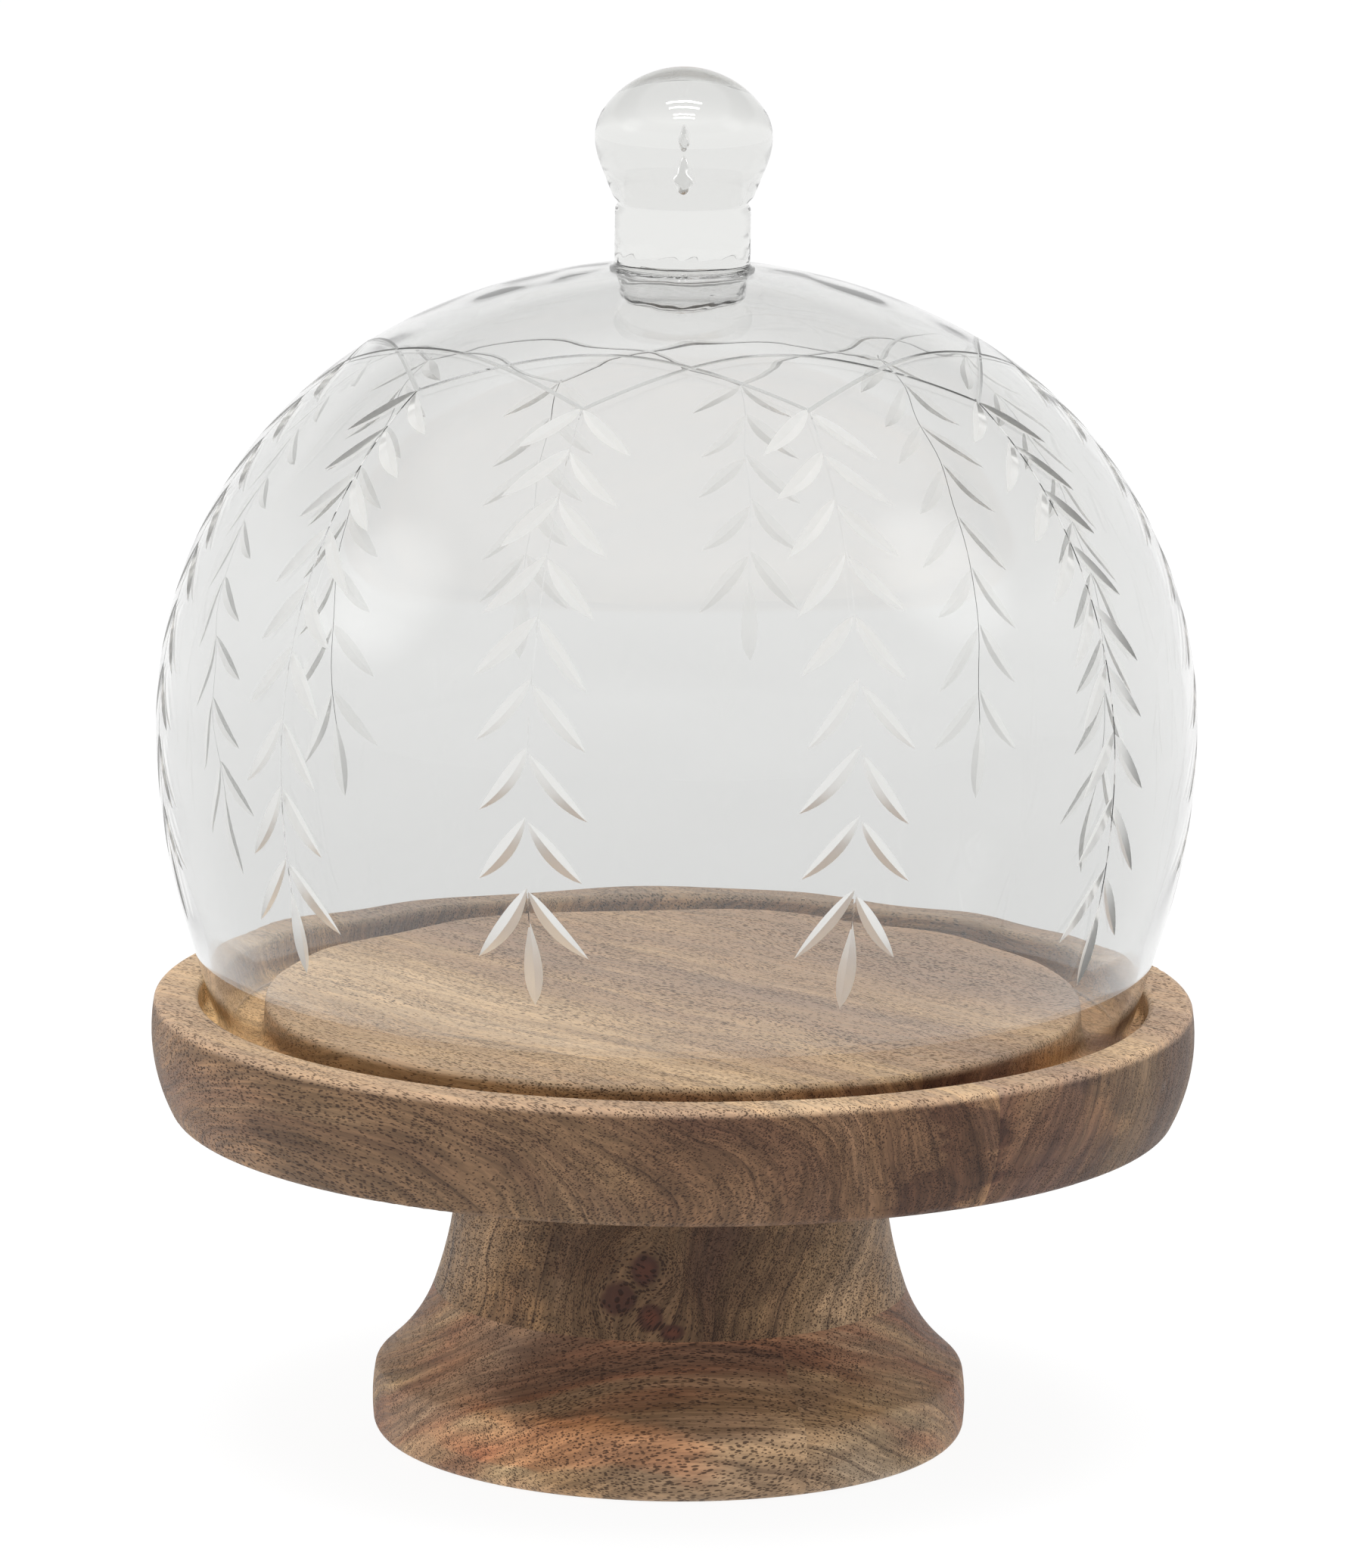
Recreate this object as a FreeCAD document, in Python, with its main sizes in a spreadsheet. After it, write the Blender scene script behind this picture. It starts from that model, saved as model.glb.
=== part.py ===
import FreeCAD, Part
import math
import os
import Sketcher

# Blown-glass cheese dome on a turned wooden stand.
# Millimetres, +Z up. The origin is on the table, under the middle of the foot, and +Z is the
# turning axis of the stand and of the glass. -Y is the front.

SIZES = {
    # Levels above the table.
    "foot_bottom": 0.5,
    "foot_widest_height": 9.5,
    "cove_end_height": 22.5,
    "seam_height": 40.4,
    "cove_centre_height": 54.8,
    "waist_height": 78.0,
    "plate_bottom": 88.5,
    "plate_widest_height": 111.5,
    "plate_top": 120.5,
    # Plate: a thick disc with a ring groove that takes the rim of the glass.
    "plate_radius": 140.0,
    "plate_side_arc": 46.0,
    "plate_bottom_round": 3.5,
    "plate_edge_round": 2.0,
    "groove_inner_radius": 110.0,
    "groove_outer_radius": 127.5,
    "groove_depth": 9.2,
    "groove_floor_round": 2.5,
    "groove_lip_round": 1.5,
    "plate_grain_angle": -48.0,
    "plate_board_width": 74.0,
    "plate_first_seam": -86.0,
    # Neck and foot.
    "seam_radius": 63.7,
    "neck_side_arc": 115.0,
    "cove_arc": 44.0,
    "foot_radius": 80.1,
    "foot_side_arc": 50.0,
    "shoulder_round": 3.5,
    "foot_bottom_round": 4.0,
    "foot_seam_angle": -62.7,
    "blank_reach": 150.0,
    # Glass bell, outer surface. Its crown arc follows from the others by tangency.
    "bell_top": 318.3,
    "belly_height": 194.5,
    "belly_radius": 138.9,
    "bell_side_arc": 119.3,
    "bell_skirt_arc": 182.0,
    "bell_rim_radius": 121.7,
    "glass_wall": 3.0,
    "rim_round": 1.4,
    # Solid glass knob, fused to the bell's crown. Its own crown arc follows in the same way.
    "knob_foot_height": 316.4,
    "knob_neck_radius": 18.0,
    "knob_neck_top": 334.5,
    "knob_flare_height": 344.8,
    "knob_flare_radius": 22.1,
    "knob_widest_height": 352.0,
    "knob_radius": 23.5,
    "knob_flare_arc": 19.5,
    "knob_cheek_arc": 16.9,
    "knob_top": 370.3,
    "bubble_height": 353.0,
    "bubble_radius": 2.9,
    "bubble_length": 18.0,
    # Hanger bolt, its threaded insert and the felt pads.
    "bolt_radius": 4.0,
    "bolt_bottom": 46.5,
    "bolt_point": 6.0,
    "bolt_top": 101.5,
    "insert_radius": 6.5,
    "insert_top": 103.5,
    "flange_radius": 8.5,
    "flange_thickness": 1.6,
    "pad_radius": 8.0,
    "pad_thickness": 1.5,
    "pad_circle_radius": 58.0,
    "pad_first_angle": -17.7,
    "pad_count": 4,
}
PLATE_BOARDS = 4

doc = FreeCAD.newDocument("cheese_dome")
sheet = doc.addObject("Spreadsheet::Sheet", "Sizes")
for row, (alias, amount) in enumerate(SIZES.items(), start=1):
    sheet.set(f"A{row}", alias)
    sheet.set(f"B{row}", str(amount))
    sheet.setAlias(f"B{row}", alias)
doc.recompute()


# A length is given as a text of sheet names and numbers joined by + and -, such as
# "plate_top - groove_depth". Given as a plain number, it is only a first place for a point that
# the other sizes and the tangencies settle.
def words(text):
    """The signed words of a length's text."""
    sign = 1
    for word in text.split():
        if word in ("+", "-"):
            sign = -1 if word == "-" else 1
        else:
            yield sign, word


def amount_of(length):
    """A length's number."""
    if not isinstance(length, str):
        return length
    return sum(sign * SIZES[word] if word in SIZES else sign * float(word)
               for sign, word in words(length))


def bound(text):
    """The expression that binds a size to the sheet."""
    return " ".join(f"Sizes.{word}" if word in SIZES else word for word in text.split())


def arc(radius, turn, centre_x=None, centre_z=None):
    """An arc from one corner to the next: turn is 1 anticlockwise, -1 clockwise."""
    return {"radius": radius, "turn": turn, "centre": (centre_x, centre_z)}


def arc_between(start, end, radius, turn):
    """The arc's curve, from its two ends."""
    along = end - start
    rise = math.sqrt(max(radius**2 - (along.Length / 2) ** 2, 0))
    left = FreeCAD.Vector(-along.y, along.x, 0).normalize()
    centre = (start + end) / 2 + left * rise * turn
    angles = [math.atan2(p.y - centre.y, p.x - centre.x) for p in (start, end)[::turn]]
    circle = Part.Circle(centre, FreeCAD.Vector(0, 0, 1), radius)
    return Part.ArcOfCircle(circle, angles[0], angles[1])


def bind(sketch, kind, where, length, name):
    """Adds one sized constraint, bound to the sheet."""
    index = sketch.addConstraint(Sketcher.Constraint(kind, *where, amount_of(length)))
    sketch.renameConstraint(index, name)
    sketch.setExpression(f"Constraints.{name}", bound(length))


def place_point(sketch, geometry, position, x, z, name):
    """Binds a point's distance from the turning axis and its height."""
    for kind, axis, length, tail in (("DistanceX", -2, x, "x"), ("DistanceY", -1, z, "z")):
        if length == "0":
            sketch.addConstraint(Sketcher.Constraint("PointOnObject", geometry, position, axis))
        elif isinstance(length, str):
            bind(sketch, kind, (-1, 1, geometry, position), length, f"{name}_{tail}")


def origin_feature(body, role):
    """One of the body's own origin planes or axes."""
    return next(f for f in body.Origin.OriginFeatures if f.Role == role)


def new_body(label):
    """A body whose label is its file's name."""
    body = doc.addObject("PartDesign::Body", label.title().replace("_", ""))
    body.Label = label
    return body


def outline_sketch(body, corners):
    """A closed half-section on the body's XZ plane.

    Each corner is (x, z, span to the next corner, smooth): the span is None for a straight line
    or an arc, and smooth makes the spans on both sides of the corner tangent."""
    sketch = body.newObject("Sketcher::SketchObject", body.Name + "Outline")
    sketch.AttachmentSupport = [(origin_feature(body, "XZ_Plane"), "")]
    sketch.MapMode = "FlatFace"
    points = [FreeCAD.Vector(amount_of(c[0]), amount_of(c[1]), 0) for c in corners]
    count = len(corners)
    for index, (_, _, span, _) in enumerate(corners):
        start, end = points[index], points[(index + 1) % count]
        if span is None:
            sketch.addGeometry(Part.LineSegment(start, end), False)
        else:
            curve = arc_between(start, end, amount_of(span["radius"]), span["turn"])
            sketch.addGeometry(curve, False)
    # An anticlockwise arc starts at its own first point, and a clockwise one at its second.
    first = [2 if span and span["turn"] < 0 else 1 for _, _, span, _ in corners]
    for index, (_, _, _, smooth) in enumerate(corners):
        before = (index - 1) % count
        kind = "Tangent" if smooth else "Coincident"
        joint = (before, 3 - first[before], index, first[index])
        sketch.addConstraint(Sketcher.Constraint(kind, *joint))
    for index, (x, z, span, _) in enumerate(corners):
        place_point(sketch, index, first[index], x, z, f"corner{index}")
        if span is None:
            continue
        if isinstance(span["radius"], str):
            bind(sketch, "Radius", (index,), span["radius"], f"arc{index}")
        place_point(sketch, index, 3, *span["centre"], f"centre{index}")
    return sketch


def turned(body, corners):
    """Revolves a half-section about the turning axis."""
    sketch = outline_sketch(body, corners)
    solid = body.newObject("PartDesign::Revolution", body.Name + "Turning")
    solid.Profile = sketch
    solid.ReferenceAxis = (sketch, ["V_Axis"])
    solid.Angle = 360
    doc.recompute()
    return solid


def nearest_rings(feature, places):
    """The names of the circular edges nearest to each (radius, height)."""
    rings = [(f"Edge{n}", edge.Curve) for n, edge in enumerate(feature.Shape.Edges, start=1)
             if not edge.Degenerated and isinstance(edge.Curve, Part.Circle)]
    names = []
    for radius, height in places:
        gaps = [math.hypot(curve.Radius - radius, curve.Center.z - height) for _, curve in rings]
        names.append(rings[gaps.index(min(gaps))][0])
    return names


def rounded(body, feature, places, size):
    """Rounds the circular edges nearest to each place, given as texts or numbers."""
    fillet = body.newObject("PartDesign::Fillet", body.Name + "Round" + str(len(body.Group)))
    places = [(amount_of(radius), amount_of(height)) for radius, height in places]
    fillet.Base = (feature, nearest_rings(feature, places))
    fillet.Radius = SIZES[size]
    fillet.setExpression("Radius", bound(size))
    doc.recompute()
    return fillet


def make_plate():
    """The whole plate as turned, with the socket for the threaded insert underneath."""
    plate = new_body("plate_blank")
    side = arc("plate_side_arc", 1, "plate_radius - plate_side_arc", "plate_widest_height")
    floor = "plate_top - groove_depth"
    solid = turned(plate, [
        ("flange_radius", "plate_bottom", None, False),
        (131.8, "plate_bottom", arc("plate_bottom_round", 1), True),
        (134.9, 90.4, side, True),
        (139.3, 119.5, arc("plate_edge_round", 1), True),
        (138.1, "plate_top", None, True),
        ("groove_outer_radius", "plate_top", None, False),
        ("groove_outer_radius", floor, None, False),
        ("groove_inner_radius", floor, None, False),
        ("groove_inner_radius", "plate_top", None, False),
        ("0", "plate_top", None, False),
        ("0", "insert_top", None, False),
        ("insert_radius", "insert_top", None, False),
        ("insert_radius", "plate_bottom + flange_thickness", None, False),
        ("flange_radius", "plate_bottom + flange_thickness", None, False),
    ])
    groove = ("groove_outer_radius", "groove_inner_radius")
    solid = rounded(plate, solid, [(r, floor) for r in groove], "groove_floor_round")
    rounded(plate, solid, [(r, "plate_top") for r in groove], "groove_lip_round")
    return plate


def make_foot():
    """The whole foot as turned, with the shallow recesses for the felt pads."""
    foot = new_body("foot_blank")
    side = arc("foot_side_arc", 1, "foot_radius - foot_side_arc", "foot_widest_height")
    cove = arc("cove_arc", -1, None, "cove_centre_height")
    turned(foot, [
        ("0", "foot_bottom", None, False),
        (75.8, "foot_bottom", arc("foot_bottom_round", 1), True),
        (79.8, 4.1, side, True),
        (79.4, 17.7, arc("shoulder_round", 1), True),
        (78.4, 19.7, None, True),
        (75.3, "cove_end_height", cove, True),
        ("seam_radius", "seam_height", None, False),
        ("0", "seam_height", None, False),
    ])
    sketch = foot.newObject("Sketcher::SketchObject", "PadRecess")
    sketch.AttachmentSupport = [(origin_feature(foot, "XY_Plane"), "")]
    sketch.MapMode = "FlatFace"
    sketch.setExpression("AttachmentOffset.Rotation.Angle", bound("pad_first_angle"))
    centre = FreeCAD.Vector(SIZES["pad_circle_radius"], 0, 0)
    circle = Part.Circle(centre, FreeCAD.Vector(0, 0, 1), SIZES["pad_radius"])
    sketch.addGeometry(circle, False)
    sketch.addConstraint(Sketcher.Constraint("PointOnObject", 0, 3, -1))
    bind(sketch, "DistanceX", (-1, 1, 0, 3), "pad_circle_radius", "pad_place")
    bind(sketch, "Radius", (0,), "pad_radius", "pad_size")
    volume = foot.Shape.Volume
    recess = foot.newObject("PartDesign::Pocket", "PadRecessCut")
    recess.Profile = sketch
    recess.Reversed = True
    recess.Length = SIZES["pad_thickness"]
    recess.setExpression("Length", bound("pad_thickness"))
    doc.recompute()
    ring = foot.newObject("PartDesign::PolarPattern", "PadRecessRing")
    ring.Originals = [recess]
    ring.Axis = (origin_feature(foot, "Z_Axis"), [""])
    ring.Angle = 360
    ring.Occurrences = SIZES["pad_count"]
    ring.setExpression("Occurrences", bound("pad_count"))
    foot.Tip = ring
    doc.recompute()
    depth = SIZES["pad_thickness"] - SIZES["foot_bottom"]
    wanted = SIZES["pad_count"] * math.pi * SIZES["pad_radius"] ** 2 * depth
    if abs(volume - foot.Shape.Volume - wanted) > 0.01 * wanted:
        raise RuntimeError("the pad recesses aren't cut")
    return foot


def make_boards(blank, name, angle, seams):
    """Cuts a blank along its glue seams. Each board lies along angle, between two seams."""
    boards = []
    turn = f"Sizes.{angle} * 1 deg"
    for number, (low, high) in enumerate(zip(seams, seams[1:]), start=1):
        slab = doc.addObject("Part::Box", f"{name.title().replace('_', '')}Slab{number}")
        slab.setExpression("Length", "2 * Sizes.blank_reach")
        slab.setExpression("Width", f"({bound(high)}) - ({bound(low)})")
        slab.setExpression("Height", "Sizes.plate_top")
        slab.setExpression("Placement.Rotation.Angle", f"Sizes.{angle}")
        corner_x = f"-Sizes.blank_reach * cos({turn}) - ({bound(low)}) * sin({turn})"
        corner_y = f"-Sizes.blank_reach * sin({turn}) + ({bound(low)}) * cos({turn})"
        slab.setExpression("Placement.Base.x", corner_x)
        slab.setExpression("Placement.Base.y", corner_y)
        board = doc.addObject("Part::Common", f"{name.title().replace('_', '')}{number}")
        board.Label = f"{name}_{number}"
        board.Base = blank
        board.Tool = slab
        boards.append(board)
    doc.recompute()
    return boards


def make_neck():
    """The waisted block between the plate and the foot, bored from above for the bolt."""
    neck = new_body("neck_block")
    turned(neck, [
        ("0", "seam_height", None, False),
        ("seam_radius", "seam_height", arc("neck_side_arc", -1, None, "waist_height"), False),
        (57.9, "plate_bottom", None, False),
        ("bolt_radius", "plate_bottom", None, False),
        ("bolt_radius", "bolt_bottom + bolt_point", None, False),
        ("0", "bolt_bottom", None, False),
    ])
    return neck


def make_bolt():
    """A hanger bolt: the pointed end is screwed into the neck, the other into the insert."""
    bolt = new_body("hanger_bolt")
    turned(bolt, [
        ("0", "bolt_bottom", None, False),
        ("bolt_radius", "bolt_bottom + bolt_point", None, False),
        ("bolt_radius", "bolt_top", None, False),
        ("0", "bolt_top", None, False),
    ])
    return bolt


def make_insert():
    """A flanged threaded insert, screwed into the underside of the plate."""
    insert = new_body("threaded_insert")
    turned(insert, [
        ("bolt_radius", "plate_bottom", None, False),
        ("flange_radius", "plate_bottom", None, False),
        ("flange_radius", "plate_bottom + flange_thickness", None, False),
        ("insert_radius", "plate_bottom + flange_thickness", None, False),
        ("insert_radius", "insert_top", None, False),
        ("bolt_radius", "insert_top", None, False),
    ])
    return insert


def make_pads():
    """Felt pads in the foot's recesses, standing a little proud of the wood."""
    pads = []
    step = 360 / SIZES["pad_count"]
    for number in range(SIZES["pad_count"]):
        pad = doc.addObject("Part::Cylinder", f"FeltPad{number + 1}")
        turn = f"(Sizes.pad_first_angle + {number} * {step}) * 1 deg"
        pad.setExpression("Radius", bound("pad_radius"))
        pad.setExpression("Height", bound("pad_thickness"))
        pad.setExpression("Placement.Base.x", f"Sizes.pad_circle_radius * cos({turn})")
        pad.setExpression("Placement.Base.y", f"Sizes.pad_circle_radius * sin({turn})")
        pads.append(pad)
    group = doc.addObject("Part::Compound", "FeltPads")
    group.Label = "felt_pads"
    group.Links = pads
    doc.recompute()
    return group


def bell_section(inset):
    """The half-section of the bell's outer surface, or of its inside when inset by the wall."""
    rim = "plate_top - groove_depth"
    side = arc(f"bell_side_arc - {inset}", 1, None, "belly_height")
    skirt = arc(f"bell_skirt_arc - {inset}", 1, None, "belly_height")
    return [
        ("0", rim, None, False),
        (f"bell_rim_radius - {inset}", rim, None, False),
        (131.5, 142.5, skirt, True),
        (f"belly_radius - {inset}", "belly_height", side, False),
        (71.5, 302.0, arc(160.0, 1, "0", None), True),
        ("0", f"bell_top - {inset}", None, False),
    ]


def make_bell():
    """The blown bell: a turned solid, hollowed to an even wall, with a fire-polished rim."""
    bell = new_body("glass_dome")
    solid = turned(bell, bell_section("0"))
    whole = solid.Shape.Volume
    sketch = outline_sketch(bell, bell_section("glass_wall"))
    hollow = bell.newObject("PartDesign::Groove", "GlassDomeHollow")
    hollow.Profile = sketch
    hollow.ReferenceAxis = (sketch, ["V_Axis"])
    hollow.Angle = 360
    doc.recompute()
    if hollow.Shape.Volume > whole / 4:
        raise RuntimeError("the bell isn't hollow")
    rim = "plate_top - groove_depth"
    places = [("bell_rim_radius", rim), ("bell_rim_radius - glass_wall", rim)]
    rounded(bell, hollow, places, "rim_round")
    return bell


def make_knob(bell):
    """The solid knob with the air bubble in it, cut to sit on the bell's crown."""
    blank = new_body("knob_blank")
    flare = arc("knob_flare_arc", 1, None, None)
    cheek = arc("knob_cheek_arc", 1, None, "knob_widest_height")
    crown = arc(33.0, 1, "0", None)
    turned(blank, [
        ("0", "knob_foot_height", None, False),
        ("knob_neck_radius", "knob_foot_height", None, False),
        ("knob_neck_radius", "knob_neck_top", None, False),
        ("knob_flare_radius", "knob_flare_height", flare, False),
        ("knob_radius", "knob_widest_height", cheek, False),
        (17.3, 365.0, crown, True),
        ("0", "knob_top", None, False),
    ])
    bubble = doc.addObject("Part::Ellipsoid", "KnobBubble")
    bubble.setExpression("Radius1", "Sizes.bubble_length / 2")
    bubble.setExpression("Radius2", bound("bubble_radius"))
    bubble.setExpression("Radius3", bound("bubble_radius"))
    bubble.setExpression("Placement.Base.z", bound("bubble_height"))
    hollow = doc.addObject("Part::Cut", "HollowKnob")
    hollow.Base = blank
    hollow.Tool = bubble
    knob = doc.addObject("Part::Cut", "GlassKnob")
    knob.Label = "glass_knob"
    knob.Base = hollow
    knob.Tool = bell
    doc.recompute()
    return knob


def plate_seams():
    """The plate's seams and outer limits, across the boards."""
    seams = ["0 - blank_reach", "plate_first_seam"]
    for _ in range(PLATE_BOARDS - 2):
        seams.append(seams[-1] + " + plate_board_width")
    return seams + ["blank_reach"]


bell = make_bell()
subparts = make_boards(make_plate(), "plate_board", "plate_grain_angle", plate_seams())
foot_seams = ["0 - blank_reach", "0", "blank_reach"]
subparts += make_boards(make_foot(), "foot_board", "foot_seam_angle", foot_seams)
subparts += [make_neck(), make_bolt(), make_insert(), make_pads(), bell, make_knob(bell)]

doc.recompute()
for item in doc.Objects:
    if "Invalid" in item.State or "Error" in item.State:
        raise RuntimeError(f"{item.Label} failed: {item.State}")
for subpart in subparts:
    if subpart.Shape.isNull() or not subpart.Shape.isValid():
        raise RuntimeError(f"{subpart.Label} has no valid shape")

os.makedirs("parts", exist_ok=True)
for subpart in subparts:
    subpart.Shape.exportStep(f"parts/{subpart.Label}.step")
    box = subpart.Shape.BoundBox
    print(f"{subpart.Label}: {len(subpart.Shape.Solids)} solids, {subpart.Shape.Volume:.0f} mm3, "
          f"{box.XLength:.1f} x {box.YLength:.1f} x {box.ZLength:.1f} from z {box.ZMin:.2f}")
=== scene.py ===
"""A blown and wheel-cut glass cheese dome on a turned wooden stand.

Metres, +Z up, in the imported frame. The glass cover is one mesh made here: knob, bell, rim and inside
wall as one closed surface, with the cut leaf garlands as real grooves. The wood, felt and metal are
the frame's own nodes with solid, procedural materials. A turn is an angle round the axis, 0 at the
front, -Y, and growing to the right."""

import math
from dataclasses import dataclass

import bpy
import numpy as np
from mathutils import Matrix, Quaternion, Vector, geometry, kdtree


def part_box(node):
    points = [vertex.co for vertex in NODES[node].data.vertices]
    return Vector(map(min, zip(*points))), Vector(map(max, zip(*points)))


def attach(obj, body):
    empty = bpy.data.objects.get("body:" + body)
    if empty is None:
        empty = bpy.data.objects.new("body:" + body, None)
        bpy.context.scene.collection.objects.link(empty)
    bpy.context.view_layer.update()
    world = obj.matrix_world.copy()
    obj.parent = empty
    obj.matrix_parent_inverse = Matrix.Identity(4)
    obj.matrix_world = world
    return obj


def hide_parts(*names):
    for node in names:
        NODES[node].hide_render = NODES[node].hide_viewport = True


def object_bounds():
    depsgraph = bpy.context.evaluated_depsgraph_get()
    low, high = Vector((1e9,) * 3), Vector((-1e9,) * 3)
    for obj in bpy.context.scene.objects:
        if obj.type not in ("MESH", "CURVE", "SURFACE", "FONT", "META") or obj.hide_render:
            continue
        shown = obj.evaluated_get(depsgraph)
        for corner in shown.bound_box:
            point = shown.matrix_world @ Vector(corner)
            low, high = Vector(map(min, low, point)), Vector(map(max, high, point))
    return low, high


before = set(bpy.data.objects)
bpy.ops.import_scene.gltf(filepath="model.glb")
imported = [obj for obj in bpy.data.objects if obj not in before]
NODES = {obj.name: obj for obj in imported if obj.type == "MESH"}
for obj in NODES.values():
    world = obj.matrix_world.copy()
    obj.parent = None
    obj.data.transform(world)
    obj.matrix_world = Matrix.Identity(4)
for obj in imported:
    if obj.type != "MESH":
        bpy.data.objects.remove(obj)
cad_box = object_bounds()

MM = 0.001
PI = math.pi
QUARTER = PI / 2

# Levels and radii read from the frame.
BELL_LOW, BELL_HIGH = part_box("glass_dome")
RIM = BELL_LOW.z
CROWN = BELL_HIGH.z
BELLY = BELL_HIGH.x
KNOB_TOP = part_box("glass_knob")[1].z
PLATE_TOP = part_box("plate_board_2")[1].z
NECK_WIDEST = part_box("neck_block")[1].x
FOOT_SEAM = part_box("foot_board_1")[1].z

# The glass outline's other sizes.
WALL = 3 * MM
LIP = WALL / 2
BELLY_HEIGHT = RIM + 83.2 * MM
SIDE_ARC = 119.3 * MM
SKIRT_ARC = 182 * MM
RIM_RADIUS = BELLY - 17.2 * MM
KNOB_RADIUS = 23.5 * MM
KNOB_WIDEST = KNOB_TOP - 18.3 * MM
KNOB_CHEEK = 12.5 * MM
KNOB_FLARE = 19.5 * MM
FLARE = math.radians(111.7)
CREASE = 3 * MM
NECK_RADIUS = 18 * MM
NECK_TOP = KNOB_TOP - 35.8 * MM
WELD = 1.5 * MM
BOSS_RADIUS = 16.8 * MM
BOSS_DEPTH = 5.7 * MM
BOSS_ROUND = 2 * MM
BOSS_EDGE = 4 * MM
BOSS_DOME = 60 * MM
# Unevenness: waves of the inside wall, lumps at the weld, and the nicks left by the tongs.
BLOWN_WAVES = 0.035 * MM
WELD_LUMPS = 0.05 * MM
NICK_DEPTH = 0.8 * MM
# How closely the outline is traced, and how many columns go round.
FINE_STEP = 0.9 * MM
BELL_STEP = 2 * MM
INSIDE_STEP = 3.2 * MM
COLUMNS = 240
# The cover's materials, by slot.
CLEAR, CUT, LINE, SOLID = range(4)
# Air in the knob, two bubbles and the flat pocket where it was fused on: height of the middle,
# radius, length, material.
BUBBLES = (
    (KNOB_WIDEST - 7.6 * MM, 1.9 * MM, 9 * MM, CLEAR),
    (KNOB_WIDEST - 1.2 * MM, 1 * MM, 3 * MM, CLEAR),
    (CROWN + 0.35 * MM, 16.3 * MM, 0.9 * MM, CLEAR),
)

# The cut pattern.
# Sprays, front left to right and on round the back: turn of the node and of the tip in degrees, how
# much farther down the node sits than the others and the rise of the garland that starts there in
# millimetres, and how many pairs of leaves it has.
SPRAYS = (
    (-87, -79, 0, 16.5, 9), (-50.5, -46.2, 0, 22.8, 9), (-16.5, -15.6, 0, 25.3, 9),
    (21.8, 19.3, 0, 16.5, 9), (57.5, 54, 4, 16, 9), (91, 84, 0, 17, 9), (122, 120, 4, 12, 9),
    (145, 141.5, 10, 10, 8), (171, 171.5, 28, 10, 5), (198, 198.5, 28, 10, 5),
    (227, 224.5, 10, 10, 8), (252, 248, 4, 14, 9),
)
NODE_ALONG = 93.7 * MM
GARLAND_WIDTH = 1.3 * MM
GARLAND_DEPTH = 0.13 * MM
STEM_WIDTH = 0.5 * MM
STEM_DEPTH = 0.1 * MM
MOST_PAIRS = 9
LEAF_GAPS = (14.6 * MM, 18.6 * MM)
LEAF_LENGTHS = (20.5 * MM, 23 * MM)
LEAF_WIDTH = 4.4 * MM
# Half the angle between a pair's leaves in degrees, how much less it is low down, and its chance.
OPENING = (43, 6, 4)
TIP_GAP = 7.4 * MM
TIP_LENGTH = 24 * MM
TIP_WIDTH = 5 * MM
CUT_SLOPE = math.tan(math.radians(15))
LEAST_CUT = 0.008 * MM
# The stretch of the bell that is cut: its first radius, and the level where it ends.
BAND_STARTS = 48 * MM
BAND_ENDS = 138 * MM
# How far past a whole turn the flat band is laid, in radians, so that its ends can meet.
BAND_MARGIN = 0.3
FULL_TURN = np.array([2 * PI, 0])


# ------ outlines

def crown_radius(arc_centre, arc_height, arc_radius, top):
    """Radius of the arc, centred on the axis, that peaks at top and runs on smoothly into another."""
    drop = arc_height - top
    return (arc_radius**2 - arc_centre**2 - drop**2) / (2 * (drop + arc_radius))


def crown_arc():
    """The bell's crown: radius and centre height of its arc, and the angle where its side begins."""
    side_centre = BELLY - SIDE_ARC
    crown = crown_radius(side_centre, BELLY_HEIGHT, SIDE_ARC, CROWN)
    centre = CROWN - crown
    return crown, centre, math.atan2(side_centre, BELLY_HEIGHT - centre)


def skirt():
    """Below the belly: centre radius of the arc, the lean at the rim, centre radius of the lip."""
    centre = BELLY - SKIRT_ARC
    reach = (RIM_RADIUS - centre, BELLY_HEIGHT - RIM)
    taper = math.atan2(reach[1], reach[0]) - math.acos(SKIRT_ARC / math.hypot(*reach))
    lip_drop = BELLY_HEIGHT - RIM - LIP
    lip_centre = centre + (SKIRT_ARC - LIP - lip_drop * math.sin(taper)) / math.cos(taper)
    return centre, taper, lip_centre


def knob_arcs():
    """The knob from its top down, and the weld that runs out into the crown."""
    cheek_centre = KNOB_RADIUS - KNOB_CHEEK
    knob_crown = crown_radius(cheek_centre, KNOB_WIDEST, KNOB_CHEEK, KNOB_TOP)
    knob_join = math.atan2(cheek_centre, KNOB_WIDEST - KNOB_TOP + knob_crown)
    crease_height = NECK_TOP - CREASE * math.tan((FLARE - QUARTER) / 2)
    crown, crown_centre, _ = crown_arc()
    weld_height = crown_centre + math.sqrt((crown + WELD) ** 2 - (NECK_RADIUS + WELD) ** 2)
    weld_end = math.asin((NECK_RADIUS + WELD) / (crown + WELD))
    return [
        ("knob", 0.0, KNOB_TOP - knob_crown, knob_crown, 0.0, knob_join),
        ("knob", cheek_centre, KNOB_WIDEST, KNOB_CHEEK, knob_join, QUARTER),
        ("knob", KNOB_RADIUS - KNOB_FLARE, KNOB_WIDEST, KNOB_FLARE, QUARTER, FLARE),
        ("knob", NECK_RADIUS + CREASE, crease_height, -CREASE, FLARE, QUARTER),
        ("weld", NECK_RADIUS + WELD, weld_height, -WELD, QUARTER, weld_end),
    ]


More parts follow.
